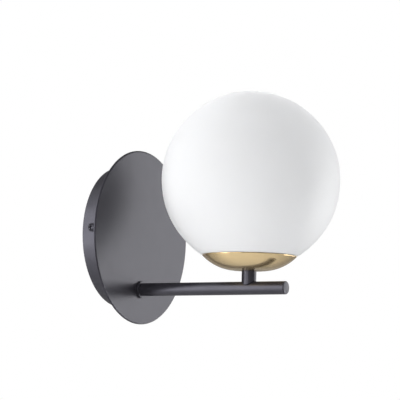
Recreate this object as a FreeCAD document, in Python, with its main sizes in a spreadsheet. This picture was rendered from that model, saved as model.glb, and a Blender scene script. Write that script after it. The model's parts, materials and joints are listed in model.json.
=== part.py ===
import FreeCAD, Part
import math
import os
import re
import Sketcher
from FreeCAD import Placement, Rotation, Vector

# A wall sconce: a round canopy with a larger front disc, a straight arm, a short stem,
# a brass dish and an opal globe. Millimetres. The origin is the centre of the canopy's
# wall face, the wall is the plane Y = 0, the light stands out towards -Y, and +Z is up.

SIZES = {
    # Globe, measured from its centre
    "globe_radius": 75,
    "glass_wall": 3,
    "globe_rise": 45.35,
    "shade_reach": 128.1,
    "rim_drop": 63.05,
    "foot_step": 1,
    "mouth_radius": 20.5,
    # Dish under the globe
    "dish_radius": 40,
    "dish_flat": 11,
    "dish_depth": 12.55,
    "dish_wall": 0.8,
    "dish_gap": 0.35,
    # Arm and stem
    "arm_radius": 5.55,
    "arm_wall": 1,
    "arm_drop": 45.35,
    "arm_tip": 164.3,
    "tip_round": 1.3,
    "plug_cap": 1.5,
    "plug_spigot": 8,
    "collar_radius": 7.4,
    "collar_thick": 2,
    "collar_round": 0.4,
    "stem_radius": 6.15,
    "stem_bore": 5,
    "stem_skirt": 2.2,
    "wire_hole": 3.5,
    # Hollow pipe thread M10 x 1 with its nut and washer
    "pipe_radius": 4.95,
    "pipe_bore": 3.75,
    "pipe_hole": 5.1,
    "pipe_grip": 11.5,
    "pipe_nut_flats": 14,
    "pipe_nut_thick": 3,
    "pipe_washer_radius": 8.5,
    "pipe_washer_thick": 1,
    "pipe_proud": 2.5,
    "pipe_space": 0.5,
    "pipe_end": 1,
    "dish_washer_radius": 9,
    "bush_wall": 0.5,
    "bush_lip": 0.6,
    "bush_flange": 1.5,
    "bush_spigot": 4,
    # Canopy drum and front disc
    "drum_radius": 60,
    "drum_depth": 20.3,
    "drum_wall": 1,
    "drum_round": 2,
    "disc_radius": 74.5,
    "disc_thick": 1.5,
    "disc_sink": 0.5,
    "disc_round": 1.1,
    # Wall bracket
    "bracket_lift": 3.5,
    "bracket_thick": 2,
    "bracket_half": 57.2,
    "bracket_plate_half": 48,
    "bracket_width": 20,
    "tab_width": 14,
    "tab_height": 14.5,
    "bend_outside": 2.4,
    "bend_inside": 0.8,
    "slot_pitch": 76,
    "slot_length": 12,
    "slot_width": 4.6,
    "earth_offset": 22,
    # Machine screws M4, their nuts and washers
    "side_screw_out": 9.7,
    "side_screw_hole": 2.25,
    "screw_shank": 1.9,
    "screw_tapped": 1.95,
    "screw_head": 3.6,
    "screw_head_thick": 2.4,
    "side_screw_length": 10,
    "recess_span": 4.6,
    "recess_slot": 1.2,
    "thread_short": 0.3,
    "small_nut_flats": 7,
    "small_nut_thick": 3.2,
    "small_washer_radius": 4.4,
    "small_washer_thick": 0.8,
    "small_washer_bore": 2.05,
    "earth_washer_radius": 3.8,
    "stud_offset": 32,
    "stud_length": 8,
    # Terminal block
    "pole_pitch": 8.5,
    "block_half": 13,
    "block_height": 17,
    "block_base": 9.5,
    "tower_width": 7.2,
    "tower_height": 13,
    "tower_length": 14,
    "tube_radius": 2.4,
    "tube_bore": 1.5,
    "tube_level": 5,
    "tube_length": 14,
    "clamp_offset": 4.2,
    "clamp_radius": 1.6,
    "clamp_tip": 1.1,
    "clamp_gap": 0.1,
    "clamp_sunk": 1.2,
    "clamp_slot": 0.5,
    "clamp_slot_depth": 0.8,
    "fixing_hole": 1.6,
    "fixing_shank": 1.45,
    "fixing_head": 2.5,
    "fixing_head_thick": 1.8,
    "fixing_recess": 2.6,
    "fixing_well": 2.8,
    # Ring terminal on the earth lead
    "ring_radius": 4,
    "ring_thick": 0.8,
    "ring_hole": 2.15,
    "ring_neck": 2.4,
    "barrel_gap": 0.3,
    "barrel_radius": 1.7,
    "barrel_length": 5,
    # Close fits, and faces that are crimped or bonded
    "fit_play": 0.05,
    "touch_gap": 0.02,
    # Insulated wires
    "wire_radius": 1,
    "wire_grip": 1.5,
    "wire_inset": 1,
    "wire_offset": 1.15,
    # Lampholder
    "cup_radius": 17.5,
    "cup_wall": 2,
    "cup_floor": 1.5,
    "cup_height": 16,
    "post_offset": 10.4,
    "post_radius": 2.5,
    "post_height": 6,
    "post_screw": 1.45,
    "post_bore": 1.6,
    "ear_bore": 1.65,
    "ear_half": 13,
    "ear_thick": 5,
    "holder_half": 7.6,
    "holder_depth": 13,
    "holder_height": 18,
    "holder_round": 1.2,
    "pin_offset": 4.5,
    "pin_hole": 1.95,
    "pin_hole_depth": 11,
    "contact_wall": 0.3,
    "contact_length": 8,
    "contact_slit": 0.8,
    "contact_tail": 0.6,
    "tail_inset": 0.5,
    "tail_past": 1,
    # Threaded ring bonded in the mouth of the globe
    "ring_bore": 17.8,
    "ring_outer": 20.2,
    "ring_flange": 22.5,
    "flange_thick": 1.3,
    "flange_level": 4.4,
    "ring_lip": 1.5,
    "thread_gap": 0.3,
    # Plug-in lamp
    "lamp_radius": 8,
    "lamp_base_height": 12,
    "lamp_height": 44,
    "lamp_lift": 0.3,
    "lamp_wall": 1,
    "lamp_foot_radius": 6.4,
    "lamp_foot_height": 2.4,
    "lamp_cover_step": 0.2,
    "pin_wire": 0.4,
    "pin_loop": 0.8,
    "pin_length": 9,
}

# Levels on the shade axis, and distances out from the wall
DISH_BOTTOM = "(globe_rise - rim_drop - dish_gap - dish_depth)"
CUP_BASE = f"({DISH_BOTTOM} + dish_wall + pipe_washer_thick)"
CUP_FLOOR = f"({CUP_BASE} + cup_floor)"
HOLDER_BASE = f"({CUP_FLOOR} + post_height)"
HOLDER_TOP = f"({HOLDER_BASE} + holder_height)"
LAMP_BASE = f"({HOLDER_TOP} + lamp_lift)"
WEB_INSIDE = "(drum_depth - drum_wall)"
PLATE_FRONT = "(drum_depth + disc_thick)"
ARM_AXIS = "(-arm_drop)"
DISH_ARC = "(((dish_radius - dish_flat)^2 + dish_depth^2) / (2 * dish_depth))"
EARTH_BARREL = "(bracket_lift - ring_radius - barrel_gap)"
EARTH_LEVEL = "(-bracket_thick - barrel_radius - fit_play)"

# Two places closer than this are the same place
SAME = 0.05

# Shares of a pan head: its straight side, the radius of its crown and the depth of its recess
HEAD_SIDE = 0.45
HEAD_CROWN = 0.62
RECESS_DEPTH = 0.6

# Shares of a toothed washer's radius: half the depth and half the width of a notch
NOTCH_DEPTH = 0.16
NOTCH_WIDTH = 0.075

FACING = {
    "up": Rotation(),
    "out": Rotation(Vector(1, 0, 0), 90),
    "left": Rotation(Vector(0, 1, 0), -90),
    "right": Rotation(Vector(0, 1, 0), 90),
}

doc = FreeCAD.newDocument("Sconce")
sheet = doc.addObject("Spreadsheet::Sheet", "Sizes")
for row, (alias, size) in enumerate(SIZES.items(), start=1):
    sheet.set(f"A{row}", alias)
    sheet.set(f"B{row}", str(size))
    sheet.setAlias(f"B{row}", alias)
doc.recompute()

nodes = []


def sized(expression):
    """The expression with every size read from the sheet."""
    return re.sub(
        r"[a-z_]+",
        lambda word: f"Sizes.{word[0]}" if word[0] in SIZES else word[0],
        str(expression),
    )


def value(expression):
    return float(sheet.evalExpression(sized(expression)))


def bind(thing, **properties):
    """Tie properties of an object to expressions on the sheet."""
    for name, expression in properties.items():
        thing.setExpression(name, sized(expression))
    return thing


def place(thing, facing="up", x=0, y=0, z=0):
    """Turn the object's own +Z to face a side, and move its origin."""
    thing.Placement = Placement(Vector(), FACING[facing])
    for axis, expression in (("x", x), ("y", y), ("z", z)):
        thing.setExpression(f".Placement.Base.{axis}", sized(expression))
    return thing


def sub_part(thing, label):
    """Register an object as a sub-part, under the name of its file."""
    thing.Label = label
    nodes.append(thing)
    return thing


def new_body(name, facing="up", x=0, y=0, z=0):
    return place(doc.addObject("PartDesign::Body", name), facing, x, y, z)


def new_sketch(body, name, role, offset=0):
    plane = next(item for item in body.Origin.OriginFeatures if item.Role == role)
    sketch = body.newObject("Sketcher::SketchObject", name)
    sketch.AttachmentSupport = [(plane, "")]
    sketch.MapMode = "FlatFace"
    if offset:
        sketch.setExpression(".AttachmentOffset.Base.z", sized(offset))
    doc.recompute()
    return sketch


def pin_point(sketch, item, end, x, y):
    """Hold a sketch point at two expressions, or on an axis where one is zero."""
    for kind, axis, expression in (("DistanceX", -2, x), ("DistanceY", -1, y)):
        amount = value(expression)
        if abs(amount) < 1e-9:
            sketch.addConstraint(Sketcher.Constraint("PointOnObject", item, end, axis))
            continue
        index = sketch.addConstraint(Sketcher.Constraint(kind, -1, 1, item, end, amount))
        sketch.setExpression(f"Constraints[{index}]", sized(expression))


def arc_middle(start, end, radius, side):
    """Middle point of the short arc between two points, bulging to the left (1) or right (-1)."""
    chord = end - start
    left = Vector(-chord.y, chord.x, 0).normalize()
    rise = radius - math.sqrt(max(radius ** 2 - (chord.Length / 2) ** 2, 0))
    return (start + end) / 2 + left * (side * rise)


def draw_outline(sketch, corners, arcs=None):
    """Closed outline through corners. arcs gives the radius and side of the edge after a corner."""
    arcs = arcs or {}
    points = [Vector(value(x), value(y), 0) for x, y in corners]
    ends = []
    for index, start in enumerate(points):
        end = points[(index + 1) % len(points)]
        if index in arcs:
            radius, side = arcs[index]
            middle = arc_middle(start, end, value(radius), side)
            item = sketch.addGeometry(Part.Arc(start, middle, end))
            flipped = (sketch.getPoint(item, 1) - start).Length > 1e-6
            bound = sketch.addConstraint(Sketcher.Constraint("Radius", item, value(radius)))
            sketch.setExpression(f"Constraints[{bound}]", sized(radius))
        else:
            item = sketch.addGeometry(Part.LineSegment(start, end))
            flipped = False
        ends.append((item, 2, 1) if flipped else (item, 1, 2))
    for index, (item, first, last) in enumerate(ends):
        following, next_first, _ = ends[(index + 1) % len(ends)]
        sketch.addConstraint(Sketcher.Constraint("Coincident", item, last, following, next_first))
        pin_point(sketch, item, first, *corners[index])


def draw_rectangle(sketch, half_x, half_y, x="0", y="0"):
    left, right = f"{x} - ({half_x})", f"{x} + ({half_x})"
    low, high = f"{y} - ({half_y})", f"{y} + ({half_y})"
    draw_outline(sketch, [(left, low), (right, low), (right, high), (left, high)])


def draw_circle(sketch, radius, x="0", y="0"):
    circle = Part.Circle(Vector(value(x), value(y), 0), Vector(0, 0, 1), value(radius))
    item = sketch.addGeometry(circle)
    bound = sketch.addConstraint(Sketcher.Constraint("Radius", item, value(radius)))
    sketch.setExpression(f"Constraints[{bound}]", sized(radius))
    pin_point(sketch, item, 3, x, y)


def pad(body, sketch, length, middle=False):
    feature = body.newObject("PartDesign::Pad", sketch.Name + "_pad")
    feature.Profile = sketch
    feature.Midplane = middle
    bind(feature, Length=length)
    doc.recompute()
    return feature


def cut_through(body, sketch):
    """Cut the sketch through the whole body, both ways from its plane."""
    before = body.Shape.Volume
    feature = body.newObject("PartDesign::Pocket", sketch.Name + "_cut")
    feature.Profile = sketch
    feature.Type = "ThroughAll"
    feature.Midplane = True
    doc.recompute()
    check_removed(body, sketch, before)
    return feature


def cut_down(body, sketch, depth):
    """Cut the sketch downwards from its plane to a depth."""
    before = body.Shape.Volume
    feature = body.newObject("PartDesign::Pocket", sketch.Name + "_cut")
    feature.Profile = sketch
    bind(feature, Length=depth)
    doc.recompute()
    check_removed(body, sketch, before)
    return feature


def check_removed(body, sketch, before):
    if body.Shape.Volume > before - 1e-3:
        raise RuntimeError(f"{sketch.Name} cuts nothing from {body.Name}: {body.Tip.getStatusString()}")


def round_edges(body, radius, wanted):
    """Round the edges of the body whose middle point passes a test."""
    base = body.Tip
    chosen = []
    for index, edge in enumerate(base.Shape.Edges, start=1):
        middle = edge.valueAt((edge.FirstParameter + edge.LastParameter) / 2)
        if wanted(edge, middle):
            chosen.append(f"Edge{index}")
    if not chosen:
        raise RuntimeError(f"no edge to round on {body.Name}")
    feature = body.newObject("PartDesign::Fillet", body.Name + "_round")
    feature.Base = (base, chosen)
    bind(feature, Radius=radius)
    doc.recompute()
    if not feature.isValid():
        raise RuntimeError(f"rounding failed on {body.Name}")
    return feature


def is_circle(edge, radius):
    return isinstance(edge.Curve, Part.Circle) and abs(edge.Curve.Radius - radius) < 1e-4


def turned(name, corners, facing="up", x=0, y=0, z=0, arcs=None):
    """Body turned about its own Z axis from a half section of radius and height."""
    body = new_body(name, facing, x, y, z)
    sketch = new_sketch(body, name + "_section", "XZ_Plane")
    draw_outline(sketch, corners, arcs)
    feature = body.newObject("PartDesign::Revolution", name + "_turn")
    feature.Profile = sketch
    feature.ReferenceAxis = (sketch, ["V_Axis"])
    feature.Angle = 360
    doc.recompute()
    return body


def ring(name, inner, outer, low, high, **where):
    """Plain ring between two radii and two heights."""
    return turned(name, [(inner, low), (outer, low), (outer, high), (inner, high)], **where)


def drill(body, name, role, holes, offset=0):
    """Round holes through the body: each is a radius and a place on an origin plane."""
    sketch = new_sketch(body, name, role, offset)
    for radius, x, y in holes:
        draw_circle(sketch, radius, x, y)
    return cut_through(body, sketch)


def cylinder(name, radius, height, facing="up", x=0, y=0, z=0):
    thing = place(doc.addObject("Part::Cylinder", name), facing, x, y, z)
    return bind(thing, Radius=radius, Height=height)


def block(name, length, width, height, x, y, z):
    thing = place(doc.addObject("Part::Box", name), "up", x, y, z)
    return bind(thing, Length=length, Width=width, Height=height)


def ball(name, radius, y, z):
    thing = place(doc.addObject("Part::Sphere", name), "up", 0, y, z)
    return bind(thing, Radius=radius)


def cut(name, base, tool):
    thing = doc.addObject("Part::Cut", name)
    thing.Base = base
    thing.Tool = tool
    return thing


def fuse(name, *pieces):
    thing = doc.addObject("Part::MultiFuse", name)
    thing.Shapes = list(pieces)
    return thing


def group(name, pieces):
    """Alike pieces that share one node."""
    thing = doc.addObject("Part::Compound", name)
    thing.Links = pieces
    return sub_part(thing, name)


def hex_nut(name, flats, bore, thick, facing, x, y, z):
    """Hexagon nut with flats that face its own X axis."""
    prism = place(doc.addObject("Part::Prism", name + "_hexagon"), facing, x, y, z)
    prism.Polygon = 6
    prism.Placement.Rotation = FACING[facing] * Rotation(Vector(0, 0, 1), 30)
    bind(prism, Circumradius=f"{flats} / sqrt(3)", Height=thick)
    return cut(name, prism, cylinder(name + "_bore", bore, thick, facing, x, y, z))


def toothed_washer(name, inner, outer, thick, teeth, **where):
    """Flat ring with notches all round its outer edge."""
    body = ring(name, inner, outer, "0", thick, **where)
    sketch = new_sketch(body, name + "_notch", "XY_Plane")
    draw_rectangle(sketch, f"({outer}) * {NOTCH_DEPTH}", f"({outer}) * {NOTCH_WIDTH}", f"({outer})")
    notch = cut_through(body, sketch)
    pattern = body.newObject("PartDesign::PolarPattern", name + "_teeth")
    pattern.Originals = [notch]
    pattern.Axis = (sketch, ["N_Axis"])
    pattern.Angle = 360
    pattern.Occurrences = teeth
    body.Tip = pattern
    doc.recompute()
    check_removed(body, sketch, notch.Shape.Volume)
    return body


def pan_screw(name, length, shank, head, head_thick, recess, **where):
    """Pan head screw with a cross recess. Its own +Z points out of the head, from under the head."""
    body = turned(name, [
        ("0", f"-({length})"),
        (shank, f"-({length})"),
        (shank, "0"),
        (head, "0"),
        (head, f"{head_thick} * {HEAD_SIDE}"),
        (f"{head} * {HEAD_CROWN}", head_thick),
        ("0", head_thick),
    ], arcs={4: (f"{head} * {HEAD_CROWN}", -1)}, **where)
    sketch = new_sketch(body, name + "_cross", "XY_Plane", head_thick)
    arm = f"({recess} / 2)"
    slot = f"(recess_slot * {recess} / recess_span / 2)"
    draw_outline(sketch, [
        (slot, slot), (arm, slot), (arm, f"-{slot}"), (slot, f"-{slot}"),
        (slot, f"-{arm}"), (f"-{slot}", f"-{arm}"), (f"-{slot}", f"-{slot}"), (f"-{arm}", f"-{slot}"),
        (f"-{arm}", slot), (f"-{slot}", slot), (f"-{slot}", arm), (slot, arm),
    ])
    cut_down(body, sketch, f"{head_thick} * {RECESS_DEPTH}")
    return body


def rounded_path(points, radii):
    """Straight runs joined by tangent arcs at the inner points."""
    edges = []
    start = points[0]
    for before, corner, after, radius in zip(points, points[1:], points[2:], radii):
        toward = (before - corner).normalize()
        away = (after - corner).normalize()
        half = toward.getAngle(away) / 2
        reach = radius / math.tan(half)
        first = corner + toward * reach
        last = corner + away * reach
        inward = (toward + away).normalize()
        middle = corner + inward * (radius / math.sin(half) - radius)
        edges.append(Part.LineSegment(start, first).toShape())
        edges.append(Part.Arc(first, middle, last).toShape())
        start = last
    edges.append(Part.LineSegment(start, points[-1]).toShape())
    return Part.Wire(edges)


def wire(name, route, radii):
    """Insulated wire along a route of places written as expressions."""
    points = [Vector(*(value(part) for part in spot)) for spot in route]
    path = rounded_path(points, radii)
    along = points[1] - points[0]
    section = Part.Wire(Part.Circle(points[0], along, value("wire_radius")).toShape())
    thing = doc.addObject("Part::Feature", name)
    thing.Shape = path.makePipeShell([section], True, False)
    expected = path.Length * math.pi * value("wire_radius") ** 2
    share = thing.Shape.Volume / expected
    print(f"{name}: length {path.Length:.1f}, radii {radii}, volume {share:.4f} of section x length")
    return sub_part(thing, name)


def make_canopy():
    """Drum open to the wall, with holes for the arm, two studs and two side screws."""
    drum = turned("drum", [
        ("drum_radius - drum_wall", "0"),
        ("drum_radius", "0"),
        ("drum_radius", "drum_depth"),
        ("0", "drum_depth"),
        ("0", WEB_INSIDE),
        ("drum_radius - drum_wall", WEB_INSIDE),
    ], facing="out")
    outer, front = value("drum_radius"), value("drum_depth")
    round_edges(drum, "drum_round",
                lambda edge, at: is_circle(edge, outer) and abs(at.z - front) < SAME)
    inner, inside = value("drum_radius - drum_wall"), value(WEB_INSIDE)
    round_edges(drum, "drum_round - drum_wall",
                lambda edge, at: is_circle(edge, inner) and abs(at.z - inside) < SAME)
    drill(drum, "drum_front_holes", "XY_Plane", [
        ("pipe_hole", "0", ARM_AXIS),
        ("side_screw_hole", "stud_offset", "stud_offset"),
        ("side_screw_hole", "-stud_offset", "stud_offset"),
    ])
    drill(drum, "drum_side_holes", "YZ_Plane", [("side_screw_hole", "bracket_lift", "side_screw_out")])
    sub_part(drum, "canopy_cup")

    disc = new_body("disc", "out", y="-drum_depth", z="-disc_sink")
    sketch = new_sketch(disc, "disc_outline", "XY_Plane")
    draw_circle(sketch, "disc_radius")
    draw_circle(sketch, "pipe_hole", "0", f"{ARM_AXIS} + disc_sink")
    pad(disc, sketch, "disc_thick")
    edge_radius, face = value("disc_radius"), value("disc_thick")
    round_edges(disc, "disc_round",
                lambda edge, at: is_circle(edge, edge_radius) and abs(at.z - face) < SAME)
    sub_part(disc, "front_disc")

    group("canopy_side_screws", [
        pan_screw("side_screw_" + side, "side_screw_length", "screw_shank", "screw_head", "screw_head_thick",
                  "recess_span", facing=side, x=f"{sign} * drum_radius", y="-side_screw_out", z="bracket_lift")
        for side, sign in (("left", -1), ("right", 1))
    ])


def make_disc_fixings():
    """Two welded studs behind the disc, each with a toothed washer and a nut inside the drum."""
    studs = []
    washers = []
    nuts = []
    for side, sign in (("left", -1), ("right", 1)):
        across = f"{sign} * stud_offset"
        studs.append(cylinder("stud_" + side, "screw_shank", "stud_length", "out",
                              across, "-drum_depth + stud_length", "stud_offset"))
        washers.append(toothed_washer("stud_washer_" + side, "small_washer_bore", "small_washer_radius",
                                      "small_washer_thick", 8, facing="out", x=across,
                                      y=f"-{WEB_INSIDE} + small_washer_thick", z="stud_offset"))
        nuts.append(hex_nut("stud_nut_" + side, "small_nut_flats", "screw_tapped", "small_nut_thick", "out",
                            across, f"-{WEB_INSIDE} + small_washer_thick + small_nut_thick", "stud_offset"))
    group("disc_studs", studs)
    group("stud_lock_washers", washers)
    group("stud_nuts", nuts)


def make_arm():
    """Arm tube, its end plug and root ring, and the hollow pipe that clamps it to the canopy."""
    arm = turned("arm", [
        ("arm_radius", PLATE_FRONT),
        ("arm_radius", "arm_tip - plug_cap"),
        ("arm_radius - arm_wall", "arm_tip - plug_cap"),
        ("arm_radius - arm_wall", f"{PLATE_FRONT} + pipe_grip + pipe_space"),
        ("stem_bore", f"{PLATE_FRONT} + pipe_grip + pipe_space"),
        ("stem_bore", PLATE_FRONT),
    ], facing="out", z=ARM_AXIS)
    sketch = new_sketch(arm, "arm_wire_hole", "XZ_Plane")
    draw_circle(sketch, "wire_hole", "0", "shade_reach")
    cut_down(arm, sketch, "arm_radius")
    sub_part(arm, "arm_tube")

    plug = turned("plug", [
        ("0", "arm_tip - plug_cap - plug_spigot"),
        ("arm_radius - arm_wall - fit_play", "arm_tip - plug_cap - plug_spigot"),
        ("arm_radius - arm_wall - fit_play", "arm_tip - plug_cap"),
        ("arm_radius", "arm_tip - plug_cap"),
        ("arm_radius", "arm_tip - tip_round"),
        ("arm_radius - tip_round", "arm_tip"),
        ("0", "arm_tip"),
    ], facing="out", z=ARM_AXIS, arcs={4: ("tip_round", -1)})
    sub_part(plug, "arm_end_plug")

    collar = ring("collar", "arm_radius + fit_play", "collar_radius",
                  PLATE_FRONT, f"{PLATE_FRONT} + collar_thick", facing="out", z=ARM_AXIS)
    outer, front = value("collar_radius"), value(f"{PLATE_FRONT} + collar_thick")
    round_edges(collar, "collar_round",
                lambda edge, at: is_circle(edge, outer) and abs(at.z - front) < SAME)
    sub_part(collar, "arm_collar")

    inner_end = f"({WEB_INSIDE} - pipe_washer_thick - pipe_nut_thick - pipe_proud)"
    sub_part(ring("arm_pipe", "pipe_bore", "pipe_radius", inner_end, f"{PLATE_FRONT} + pipe_grip",
                  facing="out", z=ARM_AXIS), "arm_nipple")
    washer = toothed_washer("arm_washer", "pipe_hole", "pipe_washer_radius", "pipe_washer_thick", 12,
                            facing="out", y=f"-{WEB_INSIDE} + pipe_washer_thick", z=ARM_AXIS)
    sub_part(washer, "arm_lock_washer")
    sub_part(hex_nut("arm_nut", "pipe_nut_flats", "pipe_radius + fit_play", "pipe_nut_thick", "out", "0",
                     f"-{WEB_INSIDE} + pipe_washer_thick + pipe_nut_thick", ARM_AXIS), "arm_nut")
    outside = "(pipe_bore - fit_play)"
    inside = f"({outside} - bush_wall)"
    bush = turned("bush", [
        (inside, f"{inner_end} - bush_flange"),
        ("pipe_radius + bush_lip", f"{inner_end} - bush_flange"),
        ("pipe_radius + bush_lip", inner_end),
        (outside, inner_end),
        (outside, f"{inner_end} + bush_spigot"),
        (inside, f"{inner_end} + bush_spigot"),
    ], facing="out", z=ARM_AXIS)
    sub_part(bush, "wire_bush")


def make_stem():
    """Upright tube saddled on the arm, with the pipe that holds dish and lampholder."""
    stem = ring("stem", "stem_bore", "stem_radius", f"{ARM_AXIS} + stem_skirt", DISH_BOTTOM, y="-shade_reach")
    saddle = new_sketch(stem, "stem_saddle", "XZ_Plane")
    draw_circle(saddle, "arm_radius", "0", ARM_AXIS)
    cut_through(stem, saddle)
    sub_part(stem, "stem_tube")

    top = f"({CUP_FLOOR} + pipe_nut_thick + pipe_end)"
    sub_part(ring("stem_pipe", "pipe_bore", "pipe_radius", f"{ARM_AXIS} + arm_radius + pipe_space", top,
                  y="-shade_reach"), "stem_nipple")
    sub_part(ring("washer", "pipe_hole", "dish_washer_radius", f"{DISH_BOTTOM} + dish_wall", CUP_BASE,
                  y="-shade_reach"), "dish_washer")
    sub_part(hex_nut("stem_nut", "pipe_nut_flats", "pipe_radius + fit_play", "pipe_nut_thick", "up", "0",
                     "-shade_reach", CUP_FLOOR), "stem_nut")


def make_dish():
    """Shallow bowl: a flat middle, then one arc up to the rim, with an even wall."""
    inner_rim = f"(dish_flat + sqrt(({DISH_ARC} - dish_wall)^2 - ({DISH_ARC} - dish_depth)^2))"
    dish = turned("dish", [
        ("pipe_hole", "0"),
        ("dish_flat", "0"),
        ("dish_radius", "dish_depth"),
        (inner_rim, "dish_depth"),
        ("dish_flat", "dish_wall"),
        ("pipe_hole", "dish_wall"),
    ], y="-shade_reach", z=DISH_BOTTOM, arcs={1: (DISH_ARC, -1), 3: (f"{DISH_ARC} - dish_wall", 1)})
    sub_part(dish, "brass_dish")


def make_lampholder():
    """Threaded cup on the stem pipe, with the ceramic holder on two posts inside it."""
    cup = turned("cup", [
        ("pipe_hole", "0"),
        ("cup_radius", "0"),
        ("cup_radius", "cup_height"),
        ("cup_radius - cup_wall", "cup_height"),
        ("cup_radius - cup_wall", "cup_floor"),
        ("pipe_hole", "cup_floor"),
    ], y="-shade_reach", z=CUP_BASE)
    drill(cup, "cup_screw_holes", "XY_Plane", [
        ("post_screw + fit_play", "post_offset", "0"),
        ("post_screw + fit_play", "-post_offset", "0"),
    ])
    sub_part(cup, "holder_cup")

    posts = []
    screws = []
    for side, sign in (("left", -1), ("right", 1)):
        across = f"{sign} * post_offset"
        posts.append(ring("post_" + side, "post_bore", "post_radius", "0", "post_height",
                          x=across, y="-shade_reach", z=CUP_FLOOR))
        screws.append(pan_screw("holder_screw_" + side, "ear_thick + post_height + cup_floor", "post_screw",
                                "post_radius", "fixing_head_thick", "fixing_recess",
                                x=across, y="-shade_reach", z=f"{HOLDER_BASE} + ear_thick"))
    group("holder_spacers", posts)
    group("holder_screws", screws)

    holder = new_body("holder", y="-shade_reach", z=HOLDER_BASE)
    ears = new_sketch(holder, "holder_ears", "XY_Plane")
    draw_rectangle(ears, "ear_half", "(holder_depth / 2)")
    pad(holder, ears, "ear_thick")
    tower = new_sketch(holder, "holder_tower", "XY_Plane")
    draw_rectangle(tower, "holder_half", "(holder_depth / 2)")
    pad(holder, tower, "holder_height")
    ear_end = value("ear_half") - SAME
    ear_top = value("ear_thick")
    round_edges(holder, "holder_round",
                lambda edge, at: is_upright(edge) and (abs(at.x) > ear_end or at.z > ear_top))
    drill(holder, "holder_ear_holes", "XY_Plane", [
        ("ear_bore", "post_offset", "0"),
        ("ear_bore", "-post_offset", "0"),
    ])
    drill(holder, "holder_pin_holes", "XY_Plane", [
        ("pin_hole", "pin_offset", "0"),
        ("pin_hole", "-pin_offset", "0"),
    ])
    pocket = new_sketch(holder, "holder_wire_pocket", "XY_Plane", "holder_height - pin_hole_depth")
    draw_rectangle(pocket, "(pin_offset + pin_hole)", "pin_hole")
    cut_down(holder, pocket, "holder_height - pin_hole_depth")
    sub_part(holder, "holder_body")
    group("holder_contacts", [make_contact("contact_left", -1), make_contact("contact_right", 1)])


def is_upright(edge):
    """True for a straight edge along Z."""
    return isinstance(edge.Curve, Part.Line) and abs(edge.tangentAt(edge.FirstParameter).z) > 0.999


def make_contact(name, sign):
    """Slit spring tube in a pin hole, with a tail to the end of the wire."""
    low = f"({HOLDER_TOP} - pin_hole_depth)"
    outer = "(pin_hole - fit_play)"
    across = f"({sign} * pin_offset)"
    tube = ring(name + "_tube", f"{outer} - contact_wall", outer, "0", "contact_length",
                x=across, y="-shade_reach", z=low)
    slit = new_sketch(tube, name + "_slit", "XY_Plane")
    draw_rectangle(slit, "(contact_slit / 2)", "(contact_slit / 2)", "0", "(pin_hole - contact_wall)")
    cut_through(tube, slit)
    near, far = "(wire_offset - tail_inset)", "(pin_offset + tail_past)"
    tail = block(name + "_tail", f"{far} - {near}", "contact_slit * 2", "contact_tail",
                 near if sign > 0 else f"-{far}", "-shade_reach - contact_slit", f"{low} - contact_tail")
    return fuse(name, tube, tail)


def make_globe():
    """Opal glass ball with a stepped foot inside the dish and a round mouth, and its threaded ring."""
    middle = "globe_rise"
    outside = ball("glass_outside", "globe_radius", "-shade_reach", middle)
    foot = ball("glass_foot", "globe_radius - foot_step", "-shade_reach", middle)
    below = cylinder("below_rim", "globe_radius", "globe_radius", "up", 0, "-shade_reach",
                     "globe_rise - rim_drop - globe_radius")
    step = cut("foot_cutter", below, foot)
    stepped = cut("glass_stepped", outside, step)
    hollow = ball("glass_inside", "globe_radius - glass_wall", "-shade_reach", middle)
    mouth = cylinder("glass_mouth", "mouth_radius", "globe_radius", "up", 0, "-shade_reach",
                     "globe_rise - globe_radius")
    sub_part(cut("glass", stepped, fuse("glass_space", hollow, mouth)), "globe_glass")

    low = f"({DISH_BOTTOM} + flange_level - flange_thick)"
    rest = f"({CUP_BASE} + cup_height + thread_gap)"
    threaded = turned("threaded_ring", [
        ("ring_bore", low),
        ("ring_flange", low),
        ("ring_flange", f"{low} + flange_thick"),
        ("ring_outer", f"{low} + flange_thick"),
        ("ring_outer", f"{rest} + ring_lip"),
        ("cup_radius - cup_wall", f"{rest} + ring_lip"),
        ("cup_radius - cup_wall", rest),
        ("ring_bore", rest),
    ], y="-shade_reach")
    sub_part(threaded, "globe_collar")

    seat = f"({low} + flange_thick)"
    foot_radius = "(globe_radius - foot_step + touch_gap)"
    inner = "(ring_outer + fit_play)"
    gasket = turned("gasket", [
        (inner, seat),
        ("ring_flange", seat),
        ("ring_flange", f"globe_rise - sqrt({foot_radius}^2 - ring_flange^2)"),
        (inner, f"globe_rise - sqrt({foot_radius}^2 - {inner}^2)"),
    ], y="-shade_reach", arcs={2: (foot_radius, 1)})
    sub_part(gasket, "globe_gasket")


def make_lamp():
    """Plug-in lamp with two wire loops for pins, a base and a frosted cover."""
    base = turned("lamp_foot", [
        ("0", "0"),
        ("lamp_foot_radius", "0"),
        ("lamp_radius", "lamp_foot_height"),
        ("lamp_radius", "lamp_base_height"),
        ("0", "lamp_base_height"),
    ], y="-shade_reach", z=LAMP_BASE)
    sub_part(base, "lamp_base")

    skin = "(lamp_radius - lamp_cover_step)"
    cover = turned("cover", [
        (f"{skin} - lamp_wall", "lamp_base_height"),
        (skin, "lamp_base_height"),
        (skin, f"lamp_height - {skin}"),
        ("0", "lamp_height"),
        ("0", "lamp_height - lamp_wall"),
        (f"{skin} - lamp_wall", f"lamp_height - {skin}"),
    ], y="-shade_reach", z=LAMP_BASE, arcs={2: (skin, -1), 4: (f"{skin} - lamp_wall", 1)})
    sub_part(cover, "lamp_cover")

    group("lamp_pins", [lamp_pin(sign) for sign in (-1, 1)])


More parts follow.
